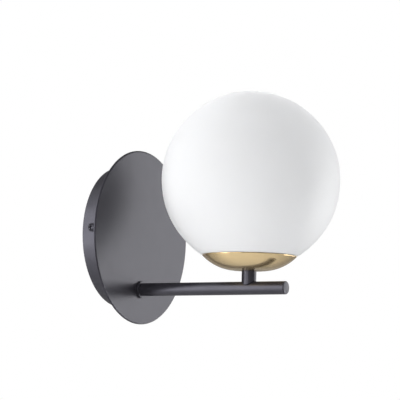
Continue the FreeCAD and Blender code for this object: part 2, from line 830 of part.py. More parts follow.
def lamp_pin(sign):
    """Wire bent into a narrow loop that hangs under the lamp's base."""
    top = Vector(sign * value("pin_offset"), -value("shade_reach"), value(LAMP_BASE))
    half = Vector(0, value("pin_loop"), 0)
    down = Vector(0, 0, value("pin_loop") - value("pin_length") + value("pin_wire"))
    bottom = top + down - Vector(0, 0, value("pin_loop"))
    loop = Part.Wire([
        Part.LineSegment(top - half, top - half + down).toShape(),
        Part.Arc(top - half + down, bottom, top + half + down).toShape(),
        Part.LineSegment(top + half + down, top + half).toShape(),
    ])
    section = Part.Wire(Part.Circle(top - half, Vector(0, 0, 1), value("pin_wire")).toShape())
    pin = doc.addObject("Part::Feature", "pin_left" if sign < 0 else "pin_right")
    pin.Shape = loop.makePipeShell([section], True, False)
    return pin


def make_bracket():
    """Strip against the wall, with a tab bent out at each end for the canopy's side screws."""
    bracket = new_body("bracket", "out", z="bracket_lift")
    bent = new_sketch(bracket, "bracket_bent", "XZ_Plane")
    inner = "(bracket_half - bracket_thick)"
    draw_outline(bent, [
        ("-bracket_half", "tab_height"), ("-bracket_half", "0"), ("bracket_half", "0"),
        ("bracket_half", "tab_height"), (inner, "tab_height"), (inner, "bracket_thick"),
        (f"-{inner}", "bracket_thick"), (f"-{inner}", "tab_height"),
    ])
    pad(bracket, bent, "tab_width", middle=True)
    plate = new_sketch(bracket, "bracket_plate", "XY_Plane")
    draw_rectangle(plate, "bracket_plate_half", "(bracket_width / 2)")
    pad(bracket, plate, "bracket_thick")
    half = value("bracket_half")
    thick = value("bracket_thick")
    round_edges(bracket, "bend_outside",
                lambda edge, at: abs(abs(at.x) - half) < SAME and abs(at.z) < SAME)
    round_edges(bracket, "bend_inside",
                lambda edge, at: abs(abs(at.x) - half + thick) < SAME and abs(at.z - thick) < SAME)
    plate_side = value("bracket_width / 2") - SAME
    round_edges(bracket, "bracket_thick", lambda edge, at: is_upright(edge) and abs(at.y) > plate_side)

    run = "((slot_length - slot_width) / 2)"
    middles = [f"{sign} * slot_pitch / 2" for sign in (-1, 1)]
    drill(bracket, "bracket_slot_ends", "XY_Plane", [
        ("slot_width / 2", f"{middle} + {sign} * {run}", "0") for middle in middles for sign in (-1, 1)
    ])
    slots = new_sketch(bracket, "bracket_slots", "XY_Plane")
    for middle in middles:
        draw_rectangle(slots, run, "slot_width / 2", middle)
    cut_through(bracket, slots)
    drill(bracket, "bracket_holes", "XY_Plane", [
        ("fixing_shank + fit_play", "pole_pitch / 2", "0"),
        ("screw_tapped", "earth_offset", "0"),
    ])
    drill(bracket, "bracket_tapped", "YZ_Plane", [("screw_tapped", "0", "side_screw_out")])
    sub_part(bracket, "wall_bracket")


def make_terminals():
    """Three-pole screw terminal block, screwed to the bracket."""
    poles = ["-pole_pitch", "0", "pole_pitch"]
    where = {"facing": "out", "y": "-bracket_thick", "z": "bracket_lift"}
    body = new_body("terminals", **where)
    base = new_sketch(body, "terminal_base", "XY_Plane")
    draw_rectangle(base, "block_half", "(block_height / 2)")
    pad(body, base, "block_base")
    towers = new_sketch(body, "terminal_towers", "XY_Plane")
    for pole in poles:
        draw_rectangle(towers, "(tower_width / 2)", "(tower_length / 2)", pole)
    pad(body, towers, "tower_height")
    drill(body, "terminal_wire_bores", "XZ_Plane",
          [("tube_radius + fit_play", pole, "tube_level") for pole in poles])
    drill(body, "terminal_fixing_holes", "XY_Plane", [
        ("fixing_hole", "pole_pitch / 2", "0"),
        ("fixing_hole", "-pole_pitch / 2", "0"),
    ])
    wells = new_sketch(body, "terminal_wells", "XY_Plane", "tower_height")
    spots = [(pole, f"{sign} * clamp_offset") for pole in poles for sign in (-1, 1)]
    for pole, across in spots:
        draw_circle(wells, "clamp_radius + fit_play", pole, across)
    cut_down(body, wells, "tower_height - tube_level")
    heads = new_sketch(body, "terminal_head_wells", "XY_Plane", "tower_height")
    for sign in (-1, 1):
        draw_circle(heads, "fixing_well", f"{sign} * pole_pitch / 2")
    cut_down(body, heads, "tower_height - block_base")
    sub_part(body, "terminal_body")

    tubes = []
    for index, pole in enumerate(poles):
        tube = ring(f"pole_tube_{index}", "tube_bore", "tube_radius", "-tube_length / 2", "tube_length / 2",
                    x=pole, y="-bracket_thick - tube_level", z="bracket_lift")
        holes = new_sketch(tube, f"pole_tube_holes_{index}", "XZ_Plane")
        for sign in (-1, 1):
            draw_circle(holes, "clamp_tip + fit_play", "0", f"{sign} * clamp_offset")
        feature = tube.newObject("PartDesign::Pocket", f"pole_tube_drill_{index}")
        feature.Profile = holes
        feature.Reversed = True
        bind(feature, Length="tube_radius")
        doc.recompute()
        tubes.append(tube)
    group("terminal_tubes", tubes)

    group("terminal_clamp_screws", [
        make_clamp_screw(f"clamp_{index}", pole, across) for index, (pole, across) in enumerate(spots)
    ])
    screw = pan_screw("fixing", "block_base + bracket_thick - thread_short", "fixing_shank", "fixing_head",
                      "fixing_head_thick", "fixing_recess", facing="out", x="pole_pitch / 2",
                      y="-bracket_thick - block_base", z="bracket_lift")
    sub_part(screw, "terminal_fixing_screw")


def make_clamp_screw(name, pole, across):
    """Slotted screw whose thin tip presses on the wire."""
    tip = "tube_level + wire_radius + clamp_gap"
    neck = "tube_level + tube_radius + clamp_gap"
    top = "tower_height - clamp_sunk"
    screw = turned(name, [
        ("0", tip), ("clamp_tip", tip), ("clamp_tip", neck),
        ("clamp_radius", neck), ("clamp_radius", top), ("0", top),
    ], facing="out", x=pole, y="-bracket_thick", z=f"bracket_lift + {across}")
    slot = new_sketch(screw, name + "_slot", "XY_Plane", top)
    draw_rectangle(slot, "clamp_radius + clamp_slot", "clamp_slot / 2")
    cut_down(screw, slot, "clamp_slot_depth")
    return screw


def make_earth():
    """Earth screw, toothed washer and ring terminal on the bracket."""
    where = {"facing": "out", "x": "earth_offset", "z": "bracket_lift"}
    stack = "(bracket_thick + ring_thick + small_washer_thick)"
    screw = pan_screw("earth", f"{stack} - thread_short", "screw_shank", "screw_head",
                      "screw_head_thick", "recess_span", y=f"-{stack}", **where)
    sub_part(screw, "earth_screw")
    washer = toothed_washer("earth_washer", "small_washer_bore", "earth_washer_radius", "small_washer_thick",
                            8, y="-bracket_thick - ring_thick", **where)
    sub_part(washer, "earth_lock_washer")
    eye = cut("eye_ring",
              cylinder("eye_disc", "ring_radius", "ring_thick", y="-bracket_thick", **where),
              cylinder("eye_hole", "ring_hole", "ring_thick", y="-bracket_thick", **where))
    foot = f"({EARTH_BARREL} - barrel_length)"
    neck = block("eye_neck", "barrel_radius * 2", "ring_thick", "ring_neck", "earth_offset - barrel_radius",
                 "-bracket_thick - ring_thick", f"{EARTH_BARREL} - ring_neck / 2")
    barrel = cylinder("eye_barrel", "barrel_radius", "barrel_length", "up", "earth_offset", EARTH_LEVEL, foot)
    bore = cylinder("eye_bore", "wire_radius + touch_gap", "barrel_length", "up", "earth_offset",
                    EARTH_LEVEL, foot)
    sub_part(cut("eye_terminal", fuse("eye_solid", eye, neck, barrel), bore), "earth_ring_terminal")


def make_wires():
    """Live and neutral from the terminals through arm and stem to the holder, and the earth lead."""
    pole_out = "-bracket_thick - tube_level"
    entry = "bracket_lift - clamp_offset - wire_grip"
    end = f"{HOLDER_TOP} - pin_hole_depth - contact_tail"
    for name, sign, pole in (("live_wire", -1, "-pole_pitch"), ("neutral_wire", 1, "0")):
        side = f"{sign} * wire_offset"
        wire(name, [
            (pole, pole_out, entry),
            (pole, pole_out, "-14"),
            (side, "-3.4", "-34"),
            (side, "-3.4", ARM_AXIS),
            (side, "-shade_reach", ARM_AXIS),
            (side, "-shade_reach", end),
        ], [10, 8, 6.5, 6])
    wire("earth_wire", [
        ("pole_pitch", pole_out, entry),
        ("pole_pitch", pole_out, "-13"),
        ("15.5", "-5.5", "-19"),
        ("earth_offset", EARTH_LEVEL, "-14"),
        ("earth_offset", EARTH_LEVEL, f"{EARTH_BARREL} - wire_inset"),
    ], [5, 4.5, 5])


def check_model():
    """Stop if an object failed or a sub-part is empty or broken."""
    doc.recompute()
    for thing in doc.Objects:
        if "Invalid" in thing.State or "Error" in thing.State:
            raise RuntimeError(f"{thing.Label} failed: {thing.State}")
    for thing in nodes:
        if thing.Shape.isNull() or not thing.Shape.isValid() or not thing.Shape.Solids:
            raise RuntimeError(f"{thing.Label} has no valid shape")


def write_parts():
    os.makedirs("parts", exist_ok=True)
    for thing in nodes:
        thing.Shape.exportStep(f"parts/{thing.Label}.step")
    print(f"{len(nodes)} sub-parts written")


make_canopy()
make_disc_fixings()
make_arm()
make_stem()
make_dish()
make_lampholder()
make_globe()
make_lamp()
make_bracket()
make_terminals()
make_earth()
make_wires()
check_model()
write_parts()
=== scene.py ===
import json
import math

import bmesh
import bpy
from mathutils import Matrix, Vector


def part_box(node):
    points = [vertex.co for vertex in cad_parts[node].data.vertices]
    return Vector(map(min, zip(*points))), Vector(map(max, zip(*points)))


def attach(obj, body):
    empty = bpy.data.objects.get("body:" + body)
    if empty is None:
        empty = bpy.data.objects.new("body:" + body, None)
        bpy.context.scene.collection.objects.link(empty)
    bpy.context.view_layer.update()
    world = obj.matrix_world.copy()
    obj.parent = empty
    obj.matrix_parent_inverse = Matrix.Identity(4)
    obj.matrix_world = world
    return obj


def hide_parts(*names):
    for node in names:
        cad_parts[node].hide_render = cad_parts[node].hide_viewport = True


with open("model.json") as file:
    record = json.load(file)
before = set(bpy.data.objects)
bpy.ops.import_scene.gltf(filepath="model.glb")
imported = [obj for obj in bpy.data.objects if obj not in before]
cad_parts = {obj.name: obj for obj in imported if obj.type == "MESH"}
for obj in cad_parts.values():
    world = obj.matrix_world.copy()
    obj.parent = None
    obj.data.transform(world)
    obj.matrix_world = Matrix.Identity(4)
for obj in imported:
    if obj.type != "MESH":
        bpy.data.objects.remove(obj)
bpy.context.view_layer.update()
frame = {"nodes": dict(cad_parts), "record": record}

# A wall sconce: a round canopy with a larger front disc, a straight arm, a short stem, a brass dish
# and an opal globe. Sizes of the pieces are in millimetres, and MM turns them to metres where they
# are used. Sizes of the camera, the floor and the lights are in metres.

MM = 0.001
nodes = frame["nodes"]
record = frame["record"]
SLOT_OF = {part["node"]: part["material_slot"] for part in record["subparts"]}
BODY_OF = {node: body for body, members in record["behaviour"]["bodies"].items() for node in members}

# The photograph's view: where the camera stands, the point it looks at and its small shift from there
CAMERA_AZIMUTH = math.radians(-59.43)
CAMERA_ELEVATION = math.radians(-5.50)
CAMERA_ROLL = math.radians(1.30)
CAMERA_DISTANCE = 2.2
CAMERA_TARGET = Vector((0, -78.74, 29.46)) * MM
CAMERA_RIGHT = 0.10 * MM
CAMERA_UP = 0.80 * MM
CAMERA_LENS = 233.24
CAMERA_NEAR = 0.05
CAMERA_FAR = 50


def corners_of(node):
    """Lowest and highest corner of a node in millimetres."""
    low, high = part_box(node)
    return low / MM, high / MM


# Axis of the globe, the dish and the stem, and that of the arm
glass_low, glass_high = corners_of("globe_glass")
SHADE_AXIS = (glass_low.y + glass_high.y) / 2
GLOBE_RADIUS = (glass_high.x - glass_low.x) / 2
GLOBE_CENTRE = glass_high.z - GLOBE_RADIUS
arm_low, arm_high = corners_of("arm_tube")
ARM_RADIUS = (arm_high.x - arm_low.x) / 2
ARM_LEVEL = (arm_low.z + arm_high.z) / 2

# Globe: its wall, the step down to the foot that stands inside the dish, the gap over the dish's
# rim, and the rounding of the shoulder, of the notch below it and of the mouth
GLASS_WALL = 3
GLASS_STEP = 1
DISH_GAP = 0.35
SHOULDER_ROUND = 1.2
NOTCH_ROUND = 0.5
MOUTH_ROUND = 0.8

# Dish: its wall, the radius of its flat middle, and the rounding of the rim's edges and the hole's
DISH_WALL = 0.8
DISH_FLAT = 11
RIM_ROUND_OUTSIDE = 0.42
RIM_ROUND_INSIDE = 0.34
HOLE_ROUND = 0.15

# Stem: the radius of its bore, and the rounding of the foot, the top and the bore's edge
STEM_BORE = 5
STEM_FOOT_ROUND = 0.7
STEM_TOP_ROUND = 0.3
STEM_BORE_ROUND = 0.2

# Arm end: the tube's wall, the plug's play in it and its inner edge, and the cap that shows
ARM_WALL = 1
PLUG_PLAY = 0.05
PLUG_ROUND = 0.3
CAP_THICK = 1.5
CAP_ROUND = 0.9
CAP_CROWN = 0.5

# Pipes: radii of the thread's crest, of the bore and of the holes that they pass, the chamfer of
# the bore, the thread's pitch and depth, and how far from an end it starts
PIPE_OUTER = 4.95
PIPE_BORE = 3.75
PIPE_HOLE = 5.1
PIPE_CHAMFER = 0.25
PIPE_PITCH = 1
PIPE_THREAD = 0.55
PIPE_LEAD = 0.4

# Cup round the lampholder: its wall and floor, the thread's pitch and depth, the plain band under
# it, where it starts and the gap over it, and the breaking of the edges
CUP_WALL = 2
CUP_FLOOR = 1.5
CUP_PITCH = 2
CUP_THREAD = 0.9
CUP_BAND = 2
CUP_THREAD_START = 2.4
CUP_THREAD_GAP = 0.8
CUP_FOOT_ROUND = 0.6
CUP_TOP_CHAMFER = 0.2
CUP_BORE_CHAMFER = 0.3
CUP_FILLET = 0.5
CUP_FILLET_MIDDLE = 0.15

# Holes in the cup's floor for the lampholder's screws, and the levels that the drill goes between
POST_OFFSET = 10.4
POST_HOLE = 1.5
DRILL_FOOT = -1
DRILL_TOP = 3

# Collar in the globe's mouth: radii of the thread's crest, the outside and the lip at the top, the
# flange's and the lip's thickness, the breaking of the edges, and how far from an end of the bore
# the thread starts
COLLAR_BORE = 17.8
COLLAR_OUTER = 20.2
LIP_BORE = 15.5
FLANGE_THICK = 1.3
LIP_THICK = 1.5
FLANGE_ROUND = 0.3
LIP_CHAMFER = 0.3
COLLAR_CHAMFER = 0.4
COLLAR_LEAD = 0.6

# Studs and side screws: radius, pitch and depth of the thread, how far from an end it starts, and
# the plain foot of a stud
SCREW_SHANK = 1.9
SCREW_PITCH = 0.7
SCREW_THREAD = 0.4
SCREW_LEAD = 0.3
STUD_FOOT = 1

# Side screws: their length under the head, and then the head's shape as shares of its height and
# radius: its straight side, the radius of its top, and its roundings from the foot up
SIDE_SCREW = 10
HEAD_SIDE = 0.55
HEAD_TOP = 0.62
HEAD_EDGE_ROUND = 0.08
HEAD_SHOULDER_ROUND = 0.3
HEAD_CROWN_ROUND = 0.5

# Cross recess: its width, half the width of an arm, how far its tool stands out of the head, the
# floor's level as a share of the head's height, and the tool's reach at its top and its tip as
# shares of the recess's
RECESS_WIDTH = 4.8
RECESS_ARM = RECESS_WIDTH / 7
RECESS_ABOVE = 0.4
RECESS_FLOOR = 0.1
RECESS_TOP = 1.15
RECESS_TIP = 0.4

# Steps in a full turn of a large piece, a small piece and a drilled hole, steps along the arcs,
# rows of points to a turn of thread, and the share of its pitch that is flat crest
LARGE_STEPS = 192
SMALL_STEPS = 72
DRILL_STEPS = 36
BALL_STEPS = 100
FOOT_STEPS = 8
BOWL_STEPS = 28
CROWN_STEPS = 7
CAP_EDGE_STEPS = 10
EDGE_STEPS = 6
THREAD_ROWS = 10
CREST_SHARE = 0.2

# A ring narrower than this is one point, and an edge sharper than this isn't shaded smooth
ON_AXIS = 1e-6
SMOOTH_ANGLE = math.radians(35)

# A lathed piece's own +Z, turned to where it points on the light
FACING = {
    "out": Matrix.Rotation(math.radians(90), 4, "X"),
    "left": Matrix.Rotation(math.radians(-90), 4, "Y"),
    "right": Matrix.Rotation(math.radians(90), 4, "Y"),
}

# Studio: soft panels round the object. Each has a direction and a distance from the object, the
# size of the panel and its strength in watts. Broad ones light the matt surfaces, and the others
# are the panels that glossy surfaces mirror.
BROAD_PANELS = {
    "left_low": ((-0.80, 0.00, -0.28), 1.5, (1.2, 0.5), 7.5),
    "top": ((0.05, -0.20, 1.0), 1.5, (1.4, 1.4), 7.5),
    "front": ((-0.10, -1.0, 0.10), 1.5, (1.2, 1.2), 3.9),
    "right_front": ((0.75, -0.75, 0.05), 1.5, (1.2, 1.2), 11.2),
    "top_back": ((0.0, 0.55, 0.85), 1.5, (0.8, 0.8), 4.2),
    "below": ((0.0, -0.10, -1.0), 1.4, (1.4, 1.4), 2.4),
    "behind": ((0.0, 1.0, 0.3), 1.5, (1.4, 1.2), 8.5),
    "left_back": ((-0.93, 0.36, 0.05), 1.5, (0.5, 1.2), 8.4),
    "top_right": ((0.70, 0.40, 0.60), 1.5, (0.8, 0.8), 11.4),
}
MIRRORED_PANELS = {
    "shine_right_near": ((0.68, -0.73, 0.08), 1.5, (0.45, 0.5), 1.6),
    "shine_right": ((0.86, -0.51, 0.08), 1.5, (0.45, 0.5), 1.75),
    "shine_behind": ((-0.25, 0.97, 0.0), 1.5, (0.5, 0.9), 4.0),
    "shine_behind_left": ((-0.66, 0.74, -0.10), 1.5, (0.5, 0.5), 1.6),
    "shine_right_far": ((0.97, -0.25, 0.08), 1.5, (0.45, 0.5), 0.8),
    "shine_low_near": ((0.66, -0.68, -0.28), 1.5, (0.45, 0.4), 6.4),
    "shine_low_far": ((0.92, -0.25, -0.28), 1.5, (0.45, 0.4), 2.4),
    "shine_left": ((-1.0, 0.0, 0.05), 1.5, (0.6, 0.9), 5.4),
    "shine_camera": ((-0.86, -0.50, 0.15), 1.5, (0.8, 0.8), 0.6),
    "shine_below": ((-0.15, -0.10, -1.0), 1.4, (1.0, 1.0), 0.1),
    "shine_below_right": ((0.68, -0.20, -0.71), 1.5, (0.9, 0.9), 0.1),
    "shine_front": ((-0.10, -1.0, 0.1), 1.5, (0.8, 0.8), 0.5),
}

# Panels in a ring behind the light, which the arm and the drum's side mirror. Each is named by its
# angle round the arm's direction, from straight down through the left, and has its watts. The
# others are how far back the ring's directions lean, its distance and the side of a panel.
RING = {
    0: 0.1, 20: 0.3, 40: 1.0, 60: 2.3, 80: 3.8, 100: 3.5, 120: 3.7, 140: 1.6,
    160: 0.7, 180: 0.3, 200: 0.3, 240: 2.6,
}
RING_BACK = 0.506
RING_REACH = 1.5
RING_PANEL = 0.45

# Grey card: the places of its edges and its plane, its glow at the foot, and the share of that
# glow from CARD_DIM_LEVEL up
CARD_LEFT = -0.05
CARD_RIGHT = 1.6
CARD_FOOT = -0.45
CARD_TOP = 0.6
CARD_BACK = 0.3
CARD_GLOW = 0.42
CARD_DIM = 0.4
CARD_DIM_LEVEL = 0

# Strength of the even light of the room, and the floor's level, side and number of parts to a side
AMBIENT = 0.25
FLOOR_LEVEL = -1.6
FLOOR_SIDE = 12
FLOOR_PARTS = 8


def add_object(name, data):
    """New object in the scene."""
    thing = bpy.data.objects.new(name, data)
    bpy.context.scene.collection.objects.link(thing)
    return thing


def mesh_of(name, build):
    """Mesh of a shape, which is freed."""
    mesh = bpy.data.meshes.new(name)
    build.to_mesh(mesh)
    build.free()
    return mesh


def make_camera():
    """Camera at the photograph's viewing angle."""
    out = Vector((
        math.sin(CAMERA_AZIMUTH) * math.cos(CAMERA_ELEVATION),
        -math.cos(CAMERA_AZIMUTH) * math.cos(CAMERA_ELEVATION),
        math.sin(CAMERA_ELEVATION),
    ))
    level = (-out).cross(Vector((0, 0, 1))).normalized()
    upright = level.cross(-out)
    right = level * math.cos(CAMERA_ROLL) + upright * math.sin(CAMERA_ROLL)
    up = upright * math.cos(CAMERA_ROLL) - level * math.sin(CAMERA_ROLL)
    place = CAMERA_TARGET + right * CAMERA_RIGHT + up * CAMERA_UP + out * CAMERA_DISTANCE
    data = bpy.data.cameras.new("camera")
    data.lens = CAMERA_LENS
    data.clip_start = CAMERA_NEAR
    data.clip_end = CAMERA_FAR
    camera = add_object("camera", data)
    turn = Matrix((right, up, out)).transposed().to_4x4()
    camera.matrix_world = Matrix.Translation(place) @ turn
    bpy.context.scene.camera = camera


class Shader:
    """A node material under construction. The scale of a noise counts its waves to a metre."""

    def __init__(self, name):
        self.material = bpy.data.materials.new(name)
        self.material.use_nodes = True
        self.tree = self.material.node_tree
        self.surface = self.tree.nodes["Principled BSDF"]
        self.place = self.add("ShaderNodeTexCoord").outputs["Object"]

    def add(self, kind, **settings):
        """New node, with its own settings."""
        node = self.tree.nodes.new(kind)
        for key, setting in settings.items():
            setattr(node, key, setting)
        return node

    def link(self, source, target):
        self.tree.links.new(source, target)

    def put(self, **sockets):
        """Set the surface's own sockets, with spaces in their names written as underscores."""
        for key, setting in sockets.items():
            self.surface.inputs[key.replace("_", " ")].default_value = setting

    def along(self, axis):
        """Object coordinate along X, Y or Z."""
        parts = self.add("ShaderNodeSeparateXYZ")
        self.link(self.place, parts.inputs["Vector"])
        return parts.outputs[axis]

    def stretched(self, scale):
        """Object coordinates scaled along X, Y and Z."""
        mapping = self.add("ShaderNodeMapping")
        mapping.inputs["Scale"].default_value = scale
        self.link(self.place, mapping.inputs["Vector"])
        return mapping.outputs["Vector"]

    def noise(self, scale, detail, coarse=0.55, place=None):
        """Noise through the object, or through other coordinates."""
        node = self.add("ShaderNodeTexNoise")
        self.link(place or self.place, node.inputs["Vector"])
        node.inputs["Scale"].default_value = scale
        node.inputs["Detail"].default_value = detail
        node.inputs["Roughness"].default_value = coarse
        return node.outputs["Fac"]

    def specks(self, scale):
        """Distance from the nearest of many scattered points."""
        node = self.add("ShaderNodeTexVoronoi")
        self.link(self.place, node.inputs["Vector"])
        node.inputs["Scale"].default_value = scale
        return node.outputs["Distance"]

    def rings(self, scale):
        """Noise in fine rings about the shade's axis."""
        x_square = self.math("POWER", self.along("X"), 2)
        y_square = self.math("POWER", self.math("SUBTRACT", self.along("Y"), SHADE_AXIS * MM), 2)
        radius = self.math("SQRT", self.math("ADD", x_square, y_square), 0)
        node = self.add("ShaderNodeTexNoise", noise_dimensions="1D")
        self.link(radius, node.inputs["W"])
        node.inputs["Scale"].default_value = scale
        node.inputs["Detail"].default_value = 2
        return node.outputs["Fac"]

    def math(self, operation, first, second):
        """Sum, product or the like of two sources or numbers."""
        node = self.add("ShaderNodeMath", operation=operation)
        for slot, source in zip(node.inputs, (first, second)):
            if isinstance(source, (int, float)):
                slot.default_value = source
            else:
                self.link(source, slot)
        return node.outputs["Value"]

    def spread(self, source, low, high, lowest=0.3, highest=0.7):
        """A number from low to high as the source goes from lowest to highest."""
        node = self.add("ShaderNodeMapRange")
        node.inputs["From Min"].default_value = lowest
        node.inputs["From Max"].default_value = highest
        node.inputs["To Min"].default_value = low
        node.inputs["To Max"].default_value = high
        self.link(source, node.inputs["Value"])
        return node.outputs["Result"]

    def ramp(self, source, stops):
        """Colour ramp through (position, colour) stops."""
        node = self.add("ShaderNodeValToRGB")
        elements = node.color_ramp.elements
        while len(elements) < len(stops):
            elements.new(0.5)
        for element, (position, colour) in zip(elements, stops):
            element.position = position
            element.color = (*colour, 1)
        self.link(source, node.inputs["Fac"])
        return node.outputs["Color"]

    def colour(self, source, stops):
        """Base colour through stops as the source rises."""
        self.link(self.ramp(source, stops), self.surface.inputs["Base Color"])

    def mottle(self, source, colour, dark, light):
        """Base colour that the source varies between two shares of its brightness."""
        self.colour(source, [
            (0.3, tuple(channel * dark for channel in colour)),
            (0.7, tuple(channel * light for channel in colour)),
        ])

    def roughness(self, source, low, high):
        """Roughness between two values, as the source varies."""
        self.link(self.spread(source, low, high), self.surface.inputs["Roughness"])

    def bump(self, source, height):
        """Relief of the surface, with its height in millimetres."""
        node = self.add("ShaderNodeBump")
        node.inputs["Distance"].default_value = height * MM
        self.link(source, node.inputs["Height"])
        self.link(node.outputs["Normal"], self.surface.inputs["Normal"])


def satin_paint(name, colour, rough):
    """Baked satin powder coat: a faint orange peel over a slightly uneven film."""
    shader = Shader(name)
    shader.mottle(shader.noise(45, detail=4), colour, dark=0.93, light=1.07)
    shader.roughness(shader.noise(120, detail=2), rough - 0.015, rough + 0.015)
    shader.bump(shader.noise(1500, detail=2), height=0.003)
    shader.put(IOR=1.5, Specular_Tint=(0.86, 0.85, 1, 1))
    return shader.material


def polished_brass(name):
    """Spun and polished brass under lacquer, with faint rings about the dish's axis."""
    shader = Shader(name)
    shader.mottle(shader.noise(30, detail=3), (0.86, 0.66, 0.37), dark=0.97, light=1.03)
    rings = shader.rings(2600)
    shader.roughness(rings, 0.18, 0.24)
    waves = shader.math("MULTIPLY", shader.noise(110, detail=2), 12)
    shader.bump(shader.math("ADD", rings, waves), height=0.0015)
    shader.put(Metallic=0.88)
    return shader.material


def opal_glass(name):
    """Opal glass with a satin etched skin: light spreads a little way into it."""
    shader = Shader(name)
    shader.colour(shader.noise(18, detail=3), [
        (0.3, (0.882, 0.888, 0.902)),
        (0.7, (0.902, 0.908, 0.922)),
    ])
    shader.roughness(shader.noise(420, detail=3), 0.44, 0.5)
    shader.bump(shader.noise(2600, detail=2), height=0.004)
    shader.put(
        IOR=1.5,
        Specular_IOR_Level=0.2,
        Subsurface_Weight=0.35,
        Subsurface_Radius=(1, 0.98, 0.95),
        Subsurface_Scale=3 * MM,
    )
    return shader.material


def rolled_metal(name, colour, rough):
    """Sheet or bar metal with a fine rolled grain and a cloudy plating."""
    shader = Shader(name)
    shader.mottle(shader.noise(120, detail=4), colour, dark=0.88, light=1.08)
    grain = shader.noise(6, detail=4, coarse=0.7, place=shader.stretched((30, 900, 30)))
    shader.roughness(grain, rough - 0.06, rough + 0.09)
    shader.bump(grain, height=0.01)
    shader.put(Metallic=1)
    return shader.material


def turned_metal(name, colour, rough):
    """Lathe-turned metal with fine rings about the shade's axis."""
    shader = Shader(name)
    shader.mottle(shader.noise(150, detail=3), colour, dark=0.92, light=1.06)
    rings = shader.rings(11000)
    shader.roughness(rings, rough - 0.05, rough + 0.08)
    shader.bump(rings, height=0.008)
    shader.put(Metallic=1)
    return shader.material


def moulded_plastic(name, colour, rough, grain=0.02):
    """Moulded plastic with a slightly grained skin."""
    shader = Shader(name)
    shader.mottle(shader.noise(90, detail=3), colour, dark=0.94, light=1.05)
    shader.roughness(shader.noise(700, detail=3), rough - 0.05, rough + 0.06)
    shader.bump(shader.noise(1800, detail=2), height=grain)
    shader.put(IOR=1.5)
    return shader.material


def steatite(name):
    """Pressed and fired ceramic: fine grain, matt, with small darker specks."""
    shader = Shader(name)
    shader.colour(shader.specks(1400), [
        (0.0, (0.62, 0.58, 0.50)),
        (0.10, (0.86, 0.84, 0.79)),
        (1.0, (0.90, 0.88, 0.84)),
    ])
    shader.roughness(shader.noise(500, detail=3), 0.5, 0.65)
    shader.bump(shader.noise(1600, detail=3), height=0.02)
    shader.put(IOR=1.55)
    return shader.material


def striped_insulation(name, first, second):
    """Two-colour wire insulation with bands that wind round it."""
    shader = Shader(name)
    wave = shader.add("ShaderNodeTexWave", wave_type="BANDS", bands_direction="DIAGONAL", wave_profile="SIN")
    shader.link(shader.place, wave.inputs["Vector"])
    wave.inputs["Scale"].default_value = 110
    shader.colour(wave.outputs["Fac"], [(0.46, first), (0.54, second)])
    shader.roughness(shader.noise(600, detail=3), 0.42, 0.52)
    shader.bump(shader.noise(900, detail=2), height=0.01)
    return shader.material


def frosted_lamp(name):
    """Frosted lamp tube, pale yellow where the filament sticks stand behind it."""
    shader = Shader(name)
    sticks = shader.spread(shader.along("Z"), 0, 1, lowest=9 * MM, highest=41 * MM)
    shader.colour(sticks, [
        (0.0, (0.86, 0.86, 0.84)),
        (0.15, (0.90, 0.86, 0.66)),
        (0.80, (0.91, 0.87, 0.68)),
        (0.95, (0.90, 0.90, 0.88)),
    ])
    shader.roughness(shader.noise(500, detail=3), 0.33, 0.42)
    shader.bump(shader.noise(2200, detail=2), height=0.006)
    shader.put(IOR=1.5, Subsurface_Weight=0.3, Subsurface_Scale=1.5 * MM)
    return shader.material


def make_materials():
    """One material for each slot of the record, from the function that makes it and what that takes."""
    anthracite = (0.027, 0.026, 0.032)
    recipes = {
        "anthracite_paint": (satin_paint, anthracite, 0.30),
        "side_screw_paint": (satin_paint, anthracite, 0.28),
        "polished_brass": (polished_brass,),
        "opal_glass": (opal_glass,),
        "zinc_steel": (rolled_metal, (0.66, 0.67, 0.69), 0.3),
        "tinned_copper": (rolled_metal, (0.72, 0.70, 0.66), 0.3),
        "terminal_brass": (rolled_metal, (0.70, 0.55, 0.30), 0.28),
        "spring_bronze": (rolled_metal, (0.66, 0.44, 0.25), 0.3),
        "terminal_nylon": (moulded_plastic, (0.80, 0.79, 0.75), 0.45),
        "bush_plastic": (moulded_plastic, (0.03, 0.03, 0.032), 0.42),
        "live_insulation": (moulded_plastic, (0.20, 0.085, 0.040), 0.45),
        "neutral_insulation": (moulded_plastic, (0.05, 0.17, 0.50), 0.45),
        "earth_insulation": (striped_insulation, (0.08, 0.33, 0.07), (0.75, 0.66, 0.06)),
        "cup_aluminium": (turned_metal, (0.74, 0.745, 0.75), 0.3),
        "holder_ceramic": (steatite,),
        "gasket_silicone": (moulded_plastic, (0.70, 0.70, 0.67), 0.5),
        "lamp_plastic": (moulded_plastic, (0.82, 0.82, 0.81), 0.3, 0.004),
        "lamp_steel": (rolled_metal, (0.66, 0.65, 0.63), 0.25),
        "lamp_frosted": (frosted_lamp,),
    }
    return {slot: make(slot, *finish) for slot, (make, *finish) in recipes.items()}


def dress_nodes():
    """Give every node of the model the material of its slot."""
    for node, slot in SLOT_OF.items():
        mesh = nodes[node].data
        mesh.materials.clear()
        mesh.materials.append(materials[slot])


def rounded(corners, steps=EDGE_STEPS):
    """Outline through corners of (radius, height, rounding), with an arc at each rounded one."""
    points = []
    for index, (radius, height, rounding) in enumerate(corners):
        here = Vector((radius, height))
        back = Vector(corners[index - 1][:2]) - here
        ahead = Vector(corners[(index + 1) % len(corners)][:2]) - here
        if not rounding:
            points.append((radius, height, 0))
            continue
        back.normalize()
        ahead.normalize()
        half = back.angle(ahead) / 2
        middle = here + (back + ahead).normalized() * (rounding / math.sin(half))
        start = here + back * (rounding / math.tan(half)) - middle
        end = here + ahead * (rounding / math.tan(half)) - middle
        turn = math.atan2(start.cross(end), start.dot(end))
        for step in range(steps + 1):
            spot = middle + Matrix.Rotation(turn * step / steps, 2) @ start
            points.append((spot.x, spot.y, 0))
    return points


